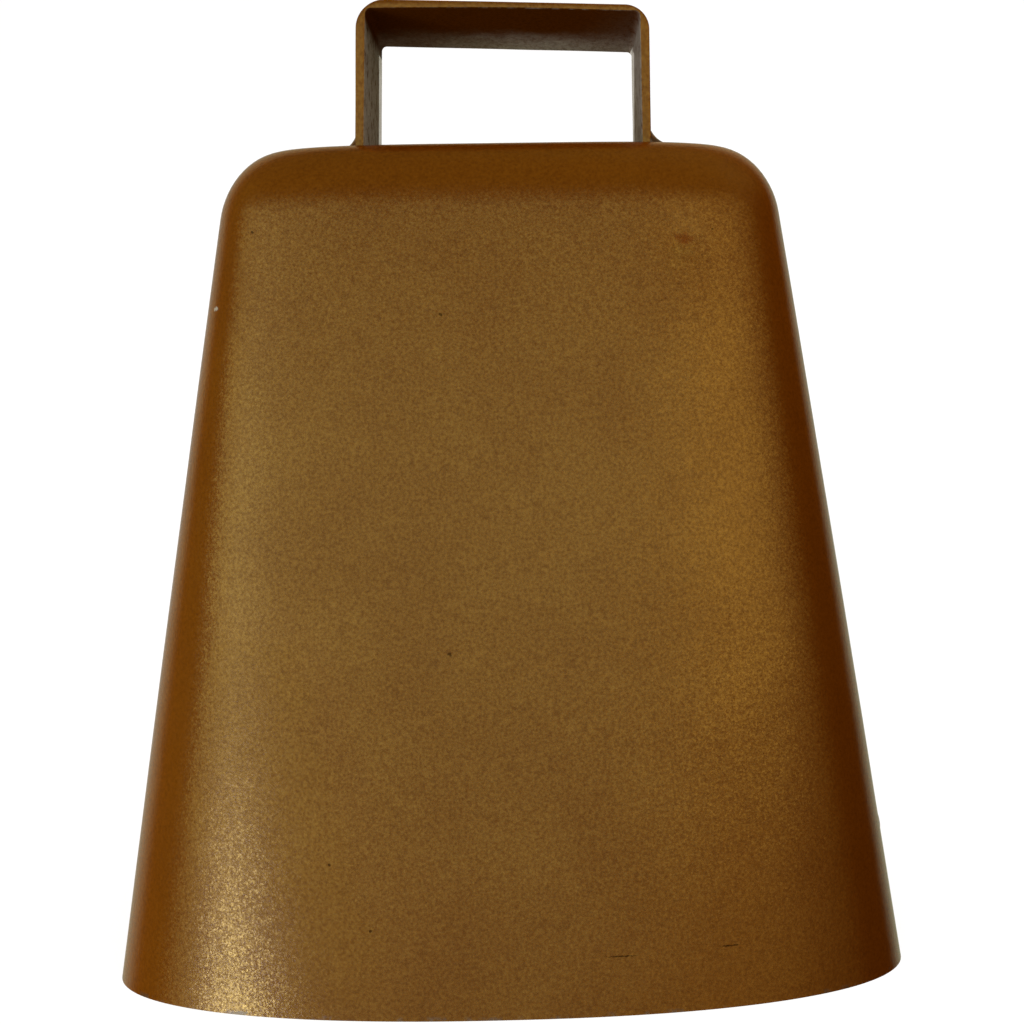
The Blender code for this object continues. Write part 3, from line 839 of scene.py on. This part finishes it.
PIGMENT = (0.325, 0.077, 0.0007)         # the binder: a warm orange-brown
FLAKE = (0.95, 0.76, 0.19, 1.0)          # metal flakes in it
FLAKE_COVER = 0.225           # share of the surface that they cover, seen square on
FLAKE_SIZE = 0.00026
FLAKE_ROUGHNESS = 0.215
FLAKE_TILT = 0.105            # how far they lean away from the surface
GRAIN_SIZE = 0.00050          # fine unevenness of the paint
CLOUD_SIZE = 0.016            # broad unevenness of the paint
RIPPLE_SIZE = 0.0011          # waves of the paint's skin
RIPPLE_DEPTH = 0.000012
SKIN = {"Coat Weight": 1.0, "Coat IOR": 1.33, "Coat Roughness": 0.14}
STEEL = (0.40, 0.375, 0.35)
BRIGHT_STEEL = (0.86, 0.84, 0.81)
WELD_STEEL = (0.30, 0.25, 0.22)
CLAPPER_STEEL = (0.34, 0.32, 0.30)
BARE_METAL_AND_HIGHLIGHT = (0.80, 0.72, 0.55)          # where paint is chipped off, and a painted highlight in the chipped spot on the rim
SCUFFED_STEEL = (0.52, 0.47, 0.40)       # inside the handle
PAINTED_EDGE_REFLECTION = (0.90, 0.86, 0.80)         # painted reflection along the handle's back edge
THIN_PAINT_PAINTED_SHADE = (0.11, 0.030, 0.0005)             # thin paint inside the handle, darkened as painted shade
PIT = (0.03, 0.010, 0.002)               # pits and scratches in the paint
RUST = (0.16, 0.035, 0.008, 1.0)


def gold_paint(g, where, cover=1.0, darken=1.0):
    """Satin metallic spray paint: flakes in an orange-brown binder under a soft clear skin."""
    cells = g.add("ShaderNodeTexVoronoi", {"Vector": where, "Scale": 1.0 / FLAKE_SIZE})
    lean = g.vector("SUBTRACT", cells.outputs["Color"], (0.5, 0.5, 0.5))
    skin = g.bump(g.noise(where, RIPPLE_SIZE, 2.0, 0.55), RIPPLE_DEPTH)
    gloss = g.bump(cells.outputs["Distance"], 0.00003, skin)
    flake_normal = g.vector("NORMALIZE", g.vector("ADD", g.scaled(lean, FLAKE_TILT), skin))
    grain = g.noise(where, GRAIN_SIZE, 3.0, 0.65)
    clouds = g.noise(where, CLOUD_SIZE, 3.0, 0.5)
    facing = g.add("ShaderNodeLayerWeight", {"Blend": 0.5}).outputs["Facing"]
    amount = g.product(
        g.ramp(grain, 0.25, 0.75, 0.60, 1.40),
        g.ramp(clouds, 0.3, 0.7, 0.9, 1.1),
        g.ramp(facing, 0.35, 0.75, FLAKE_COVER, 0.15 * FLAKE_COVER),
        cover,
    )
    shade = g.product(
        g.ramp(grain, 0.2, 0.8, 0.72, 1.28), g.ramp(clouds, 0.3, 0.7, 0.96, 1.04), darken
    )
    binder = g.add("ShaderNodeBsdfPrincipled", {
        "Base Color": g.scaled(PIGMENT, shade), "Roughness": 0.6, "Specular IOR Level": 0.0,
        "Normal": skin, "Coat Normal": gloss, **SKIN,
    })
    flakes = g.add("ShaderNodeBsdfPrincipled", {
        "Base Color": FLAKE, "Metallic": 1.0, "Roughness": FLAKE_ROUGHNESS,
        "Normal": flake_normal, "Coat Normal": gloss, **SKIN,
    })
    return g.shader_mix(amount, binder.outputs[0], flakes.outputs[0])


def plain_steel(g, where, colour=STEEL, roughness=0.36):
    """Dull steel with fine scuffs and a few darker stains."""
    scuffs = g.noise(where, 0.0004, 3.0, 0.7)
    stains = g.noise(where, 0.004, 4.0, 0.6)
    tone = g.product(
        g.ramp(scuffs, 0.3, 0.7, 0.85, 1.1), g.ramp(stains, 0.35, 0.65, 0.72, 1.05)
    )
    steel = g.add("ShaderNodeBsdfPrincipled", {
        "Base Color": g.scaled(colour, tone), "Metallic": 1.0,
        "Roughness": g.ramp(stains, 0.3, 0.7, roughness + 0.14, roughness - 0.04),
        "Normal": g.bump(scuffs, 0.00001),
    })
    return steel.outputs[0]


def spot(g, where, x, z, half_width, half_height, raggedness=0.5, softness=0.6):
    """A ragged mark on the front, at a place given by X and Z: 1 inside and 0 outside.

    It fades over a share of its size, its softness, and ends a little beyond its half width.
    """
    end = 1.15
    sides = g.parts(where)
    across = g.math("DIVIDE", g.math("SUBTRACT", sides["X"], x), half_width)
    up = g.math("DIVIDE", g.math("SUBTRACT", sides["Z"], z), half_height)
    away = g.math("SQRT", g.total(g.product(across, across), g.product(up, up)))
    blobs = g.noise(where, 0.5 * min(half_width, half_height) + 0.0004)
    away = g.total(away, g.ramp(blobs, 0.2, 0.8, -raggedness, raggedness))
    on_front = g.ramp(sides["Y"], -0.004, 0.0, 1.0, 0.0)
    return g.product(g.ramp(away, end - softness, end, 1.0, 0.0), on_front)


DARK_MARKS = (                # X, Z, half width, half height
    (-0.0390, 0.1256, 0.00028, 0.00028),
    (-0.0082, 0.1110, 0.00035, 0.00025),
    (-0.0079, 0.0568, 0.00038, 0.00030),
    (-0.0213, 0.0139, 0.00030, 0.00026),
    (-0.0277, 0.0241, 0.00026, 0.00026),
    (0.0360, 0.1240, 0.00022, 0.00022),
    (0.0181, 0.0092, 0.0026, 0.00014),
    (0.0350, 0.0097, 0.0018, 0.00014),
)
CHIPS_AND_RIM_HIGHLIGHT = (                     # the same, and raggedness
    # chipped spot on the rim, made pale also as a painted highlight where the bright streak on the
    # lower left meets the rim; the second entry is a pale speck
    (-0.0425, 0.0, 0.0019, 0.0006, 0.6),
    (-0.0460, 0.1135, 0.0004, 0.0004, 0.5),
)
KNOCK = (DENT.x, DENT.z, 0.0019, 0.0016, 0.35, 1.3)   # the same, and softness
PALE_PATCH = (DENT.x - 0.0012, DENT.z - 0.0030, 0.0038, 0.0032, 0.4, 1.3)


def shell_material():
    """Paint, knocked and speckled with small dark marks, thin inside and chipped at the rim; the
    pale chipped spot on the rim is also a painted highlight.
    """
    material, g = new_material("bell_gold_paint")
    where = g.coords()
    inside = g.attribute("inside")
    cover = g.product(
        g.ramp(inside, 0.2, 0.8, 1.0, 0.45),
        g.ramp(spot(g, where, *KNOCK), 0.0, 1.0, 1.0, 0.25),
        g.ramp(spot(g, where, *PALE_PATCH), 0.0, 1.0, 1.0, 1.6),
    )
    shader = gold_paint(g, where, cover, g.ramp(inside, 0.2, 0.8, 1.0, 0.62))
    dark = g.matt(PIT, 1.0)
    for mark in DARK_MARKS:
        shader = g.shader_mix(g.product(spot(g, where, *mark), 0.7), shader, dark)
    bright = g.matt(BARE_METAL_AND_HIGHLIGHT, 1.0)
    for pale_mark in CHIPS_AND_RIM_HIGHLIGHT:
        shader = g.shader_mix(spot(g, where, *pale_mark), shader, bright)
    rim = g.ramp(g.parts(where)["Z"], 0.0002, 0.0009, 1.0, 0.0)
    worn = g.product(rim, g.ramp(g.noise(where, 0.0035, 4.0, 0.65), 0.52, 0.66), 0.6)
    g.surface(g.shader_mix(worn, shader, plain_steel(g, where)))
    return material


def rivet_material():
    """The shell's paint, a little thinner and darker."""
    material, g = new_material("rivet_gold_paint")
    where = g.coords()
    g.surface(gold_paint(g, where, 0.9, 0.92))
    return material


def handle_material():
    """Paint outside the loop; inside it thin paint darkened as painted shade, worn to grey steel
    towards the back.

    The legs have a strip of glossy bare steel along their back edge, wider high up on the right;
    its near-white colour is a painted reflection.
    """
    material, g = new_material("handle_worn_paint")
    where = g.coords()
    sides = g.parts(where)
    bare = g.ramp(g.attribute("bare"), 0.45, 0.55)
    on_bar = g.ramp(sides["Z"], TOP_Z + 0.0190, TOP_Z + 0.0215)
    along = g.add("ShaderNodeMapping", {"Vector": where, "Scale": (1.0, 0.45, 0.30)}).outputs[0]
    streaks = g.noise(along, 0.0008, 4.0, 0.7)
    patches = g.noise(where, 0.006, 3.0, 0.6)
    ragged_depth = g.total(sides["Y"], g.ramp(patches, 0.3, 0.7, -0.0010, 0.0010))
    bar_wear = g.product(
        g.ramp(ragged_depth, -0.001, 0.0115),
        g.ramp(streaks, 0.30, 0.60, 0.55, 1.0),
        g.ramp(sides["X"], -0.016, 0.004, 0.25, 1.0),
        g.ramp(sides["X"], 0.012, 0.022, 1.0, 0.6),
    )
    leg_wear = g.ramp(streaks, 0.34, 0.52, 0.25, 0.92)
    wear = g.add("ShaderNodeMix", {"Factor": on_bar, 2: leg_wear, 3: bar_wear}).outputs[0]
    high_right = g.product(
        g.ramp(sides["X"], 0.0, 0.01),
        g.ramp(sides["Z"], TOP_Z + 0.004, TOP_Z + 0.021, 0.0, 0.0035),
    )
    under_bar = g.ramp(sides["Z"], TOP_Z + 0.0200, TOP_Z + 0.0210, 0.0, 0.0180)
    strip_start = g.total(g.math("SUBTRACT", 0.0074, high_right), under_bar)
    back_strip = g.product(g.ramp(g.math("SUBTRACT", sides["Y"], strip_start), 0.0, 0.0008), 0.85)
    speckle = g.ramp(g.noise(where, GRAIN_SIZE, 4.0, 0.7), 0.25, 0.75, 0.70, 1.30)
    # thin paint inside the loop, made dark as painted shade for the underside that gets little
    # light
    thin_paint_painted_shade = g.matt(THIN_PAINT_PAINTED_SHADE, speckle)
    steel = g.shader_mix(0.25, g.matt(SCUFFED_STEEL, speckle), plain_steel(g, where, STEEL, 0.6))
    # near-white matt colour on the back strip is a painted reflection of the bright background,
    # over a little glossy steel
    polished_and_painted_reflection = g.shader_mix(
        0.85, g.matt(PAINTED_EDGE_REFLECTION, speckle), plain_steel(g, where, BRIGHT_STEEL, 0.14)
    )
    dull = g.shader_mix(wear, thin_paint_painted_shade, steel)
    inside = g.shader_mix(back_strip, dull, polished_and_painted_reflection)
    shader = g.shader_mix(bare, gold_paint(g, where), inside)
    # the front edge inside the loop is worn to steel, and its lighter steel there is also a
    # painted highlight line
    rubbed_and_highlight = g.product(
        g.attribute("worn"),
        g.ramp(sides["X"], -0.006, 0.010, 0.5, 1.0),
        g.ramp(g.noise(where, 0.0016, 4.0, 0.7), 0.40, 0.64),
        0.35,
    )
    g.surface(g.shader_mix(rubbed_and_highlight, shader, steel))
    return material


def weld_material():
    """Grey weld metal showing through thin paint."""
    material, g = new_material("weld_thin_paint")
    where = g.coords()
    show = g.ramp(g.noise(where, 0.0012, 3.0, 0.6), 0.35, 0.6, 0.35, 0.8)
    grey = plain_steel(g, where, WELD_STEEL, 0.5)
    g.surface(g.shader_mix(show, gold_paint(g, where, 0.5, 0.8), grey))
    return material


def wire_material():
    """Drawn wire; the ends that are headed over on the outside wear the bell's paint."""
    material, g = new_material("staple_wire_steel")
    where = g.coords()
    outside = g.ramp(g.parts(where)["Z"], TOP_Z - 0.0012, TOP_Z - 0.0002)
    specks = g.ramp(g.noise(where, 0.0011, 3.0, 0.6), 0.60, 0.68, 0.0, 0.6)
    painted = g.math("MAXIMUM", outside, specks)
    g.surface(g.shader_mix(painted, plain_steel(g, where), gold_paint(g, where)))
    return material


def clapper_material():
    """Dull steel with a little rust."""
    material, g = new_material("clapper_dull_steel")
    where = g.coords()
    shader = plain_steel(g, where, CLAPPER_STEEL, 0.40)
    rust = g.add("ShaderNodeBsdfPrincipled", {"Base Color": RUST, "Roughness": 0.8})
    stain = g.ramp(g.noise(where, 0.0028, 5.0, 0.65), 0.60, 0.72, 0.0, 0.55)
    g.surface(g.shader_mix(stain, shader, rust.outputs[0]))
    return material


# ---- stage -----------------------------------------------

CAMERA_PLACE = Vector((0.00883, -0.26325, 0.09087))
CAMERA_ROLL = math.radians(1.41)
CAMERA_LENS = 52.84
CAMERA_SHIFT = (-0.0371, -0.0732)
SENSOR_WIDTH = 36.0
FLOOR_REACH = 3.0             # to either side, in front, and up behind
FLOOR_BEHIND = 1.6            # where it starts to turn up behind
FLOOR_BEND = 0.8
PALE_WALL = (1.0, 0.99, 0.90, 1.0)
WARM_WALL = (1.0, 0.72, 0.42, 1.0)
DAYLIGHT = (1.0, 0.95, 1.40, 1.0)
AMBER = (1.0, 0.74, 0.28, 1.0)
YELLOW = (1.0, 0.80, 0.10, 1.0)
FAR_LOW = ((0.80, 0.81, 0.55, 1.0), (0.88, 0.85, 0.78, 1.0))   # beside and behind the bell
FAR_HIGH = (0.95, 0.74, 0.40, 1.0)
WARM_LIGHT = (1.0, 0.96, 0.92)
GLOWS = (                     # azimuth, elevation, distance, size and energy
    ("glow_left", -100.0, 8.0, 1.0, 0.8, 1.9),
    ("glow_below", -50.0, -20.0, 0.25, 0.12, 0.031),
    ("glow_right", 72.0, 42.0, 0.24, 0.12, 0.050),
    ("glow_above", 90.0, 72.0, 0.26, 0.15, 0.056),
)
PAPER = (1.0, 1.0, 1.0, 1.0)


def build_camera():
    data = bpy.data.cameras.new("camera")
    data.sensor_width = SENSOR_WIDTH
    data.lens = CAMERA_LENS
    data.shift_x, data.shift_y = CAMERA_SHIFT
    data.clip_start = 0.01
    data.clip_end = 20.0
    camera = placed("camera", data)
    turn = Matrix.Rotation(CAMERA_ROLL, 4, "Y") @ Matrix.Rotation(0.5 * math.pi, 4, "X")
    camera.matrix_world = Matrix.Translation(CAMERA_PLACE) @ turn
    bpy.context.scene.camera = camera


def build_floor():
    """A plain pale sheet: floor in front, swept up behind.

    It lights nothing, so the bell's shading comes from the soft lights alone.
    """
    material, g = new_material("pale_floor")
    where = g.coords()
    tone = g.ramp(g.noise(where, 0.5, 2.0), 0.2, 0.8, 0.985, 1.0)
    paper = g.add("ShaderNodeBsdfPrincipled", {
        "Base Color": g.scaled(PAPER[:3], g.product(tone, 0.24)), "Roughness": 0.9,
        "Specular IOR Level": 0.0, "Emission Color": PAPER, "Emission Strength": 0.79,
    })
    underside = g.add("ShaderNodeNewGeometry").outputs["Backfacing"]
    clear = g.add("ShaderNodeBsdfTransparent").outputs[0]
    g.surface(g.shader_mix(underside, paper.outputs[0], clear))
    profile = [(-FLOOR_REACH, 0.0), (FLOOR_BEHIND, 0.0)]
    for i in range(1, BEND_STEPS + 1):
        turn = 0.5 * math.pi * i / BEND_STEPS
        y = FLOOR_BEHIND + FLOOR_BEND * math.sin(turn)
        profile.append((y, FLOOR_BEND * (1.0 - math.cos(turn))))
    profile.append((FLOOR_BEHIND + FLOOR_BEND, FLOOR_REACH))
    bm = bmesh.new()
    rows = [[bm.verts.new((side * FLOOR_REACH, y, z)) for side in (-1, 1)] for y, z in profile]
    for near, far in zip(rows, rows[1:]):
        bm.faces.new((near[0], near[1], far[1], far[0]))
    floor = placed("floor_sheet", smooth_mesh("floor_sheet", bm, material))
    floor.visible_diffuse = False
    floor.visible_glossy = False
    floor.visible_shadow = False
    return floor


def build_floor_light(floor):
    """A broad overhead sun for the floor sheet alone, with a soft shadow under the bell."""
    data = bpy.data.lights.new("floor_sun", "SUN")
    data.energy = 3.6
    data.angle = math.radians(70.0)
    sun = placed("floor_sun", data)
    sun.rotation_euler = (math.radians(36.0), 0.0, 0.0)
    only_floor = bpy.data.collections.new("lit_by_floor_sun")
    only_floor.objects.link(floor)
    sun.light_linking.receiver_collection = only_floor


def area_light(name, azimuth, elevation, distance, size, energy):
    """A warm square softbox aimed at the bell's middle, that reflections leave out."""
    data = bpy.data.lights.new(name, "AREA")
    data.shape = "SQUARE"
    data.size = size
    data.energy = energy
    data.color = WARM_LIGHT
    light = placed(name, data)
    az, el = math.radians(azimuth), math.radians(elevation)
    out = Vector((math.sin(az) * math.cos(el), -math.cos(az) * math.cos(el), math.sin(el)))
    target = Vector((TOP_X, 0.0, 0.5 * TOP_Z))
    light.location = target + out * distance
    light.rotation_mode = "QUATERNION"
    light.rotation_quaternion = out.to_track_quat("Z", "Y")
    light.visible_glossy = False


def build_world():
    """Soft room light, as a sum of glows placed by their direction from the bell.

    Azimuth is 0 in front and positive to +X, in degrees. A pale wall in front turns warm and
    dim to the right, and a bright window is low on the left. Behind the bell is another pale
    wall, which its edges mirror. The camera sees plain paper instead.
    """
    world = bpy.data.worlds.new("studio")
    bpy.context.scene.world = world
    world.use_nodes = True
    g = Graph(world.node_tree)
    sides = g.parts(g.add("ShaderNodeTexCoord").outputs["Generated"])
    azimuth = g.math("DEGREES", g.math("ARCTAN2", sides["X"], g.product(sides["Y"], -1.0)))
    elevation = g.math("DEGREES", g.math("ARCSINE", sides["Z"]))
    wider_low = g.ramp(elevation, -14.0, -2.0, 9.0, 0.0)
    wider_high = g.ramp(elevation, 0.0, 14.0, 0.0, 9.0)
    left_end = g.total(azimuth, wider_high, wider_low)
    right_end = g.math("SUBTRACT", azimuth, wider_low)
    in_room = g.product(
        g.ramp(left_end, -68.0, -63.0),
        g.ramp(right_end, 62.0, 75.0, 1.0, 0.0),
        g.ramp(elevation, 4.0, 34.0, 1.0, 0.0),
    )
    wall = g.product(
        g.ramp(azimuth, 35.0, 66.0, 1.0, 0.38), g.ramp(elevation, -14.0, 0.0, 0.48, 1.0), 0.385
    )
    wall_colour = g.blend(g.ramp(azimuth, -5.0, 32.0), PALE_WALL, WARM_WALL)
    left_glow = g.product(g.hump(azimuth, -50.0, 40.0), 0.17)
    right_glow = g.product(
        g.hump(azimuth, 35.0, 31.0),
        g.ramp(elevation, -9.0, 1.0),
        g.ramp(elevation, 2.0, 17.0, 1.0, 0.4),
        0.40,
    )
    room = g.product(in_room, g.total(wall, left_glow, right_glow))
    low = g.product(g.hump(elevation, -24.0, 14.5), 5.6)
    faint = g.product(g.hump(elevation, -4.0, 18.0), 0.24)
    window = g.product(g.hump(azimuth, -48.0, 10.0), g.total(low, faint))
    grazing = g.total(sides["Y"], g.product(sides["X"], -0.10))
    far_low = g.blend(g.ramp(grazing, 0.85, 0.98), *FAR_LOW)
    far_colour = g.blend(g.ramp(elevation, 12.0, 34.0), far_low, FAR_HIGH)
    far = g.product(g.ramp(grazing, 0.47, 0.64), g.ramp(elevation, 0.0, 30.0, 0.58, 0.50))
    parts = (
        (wall_colour, room),
        (DAYLIGHT, window),
        (far_colour, far),
        (AMBER, g.ramp(elevation, 20.0, 40.0, 0.0, 0.08)),
        (AMBER, g.ramp(sides["X"], -0.2, 0.9, 0.05, 0.01)),
        (YELLOW, g.ramp(sides["X"], -0.95, -0.65, 0.05, 0.0)),
    )
    light = None
    for colour, strength in parts:
        glow = g.add("ShaderNodeBackground", {"Color": colour, "Strength": strength}).outputs[0]
        if light:
            glow = g.add("ShaderNodeAddShader", {0: light, 1: glow}).outputs[0]
        light = glow
    paper = g.add("ShaderNodeBackground", {"Color": PAPER, "Strength": 1.0})
    seen = g.add("ShaderNodeLightPath").outputs["Is Camera Ray"]
    mixed = g.shader_mix(seen, light, paper.outputs[0])
    g.add("ShaderNodeOutputWorld", {"Surface": mixed})


def build_stage():
    """Floor, lights and camera."""
    floor = build_floor()
    build_floor_light(floor)
    for glow in GLOWS:
        area_light(*glow)
    build_world()
    build_camera()
    bpy.context.scene.view_settings.view_transform = "Standard"


# ---- the bell --------------------------------------------

def build_pieces():
    build_shells(shell_material())
    build_rivets(rivet_material())
    build_handle(handle_material())
    weld = weld_material()
    build_weld(-1, weld)
    build_weld(1, weld)
    wire = wire_material()
    build_staple(wire)
    build_link(wire)
    clapper = clapper_material()
    build_stem(clapper)
    build_ball(clapper)


build_pieces()
build_stage()
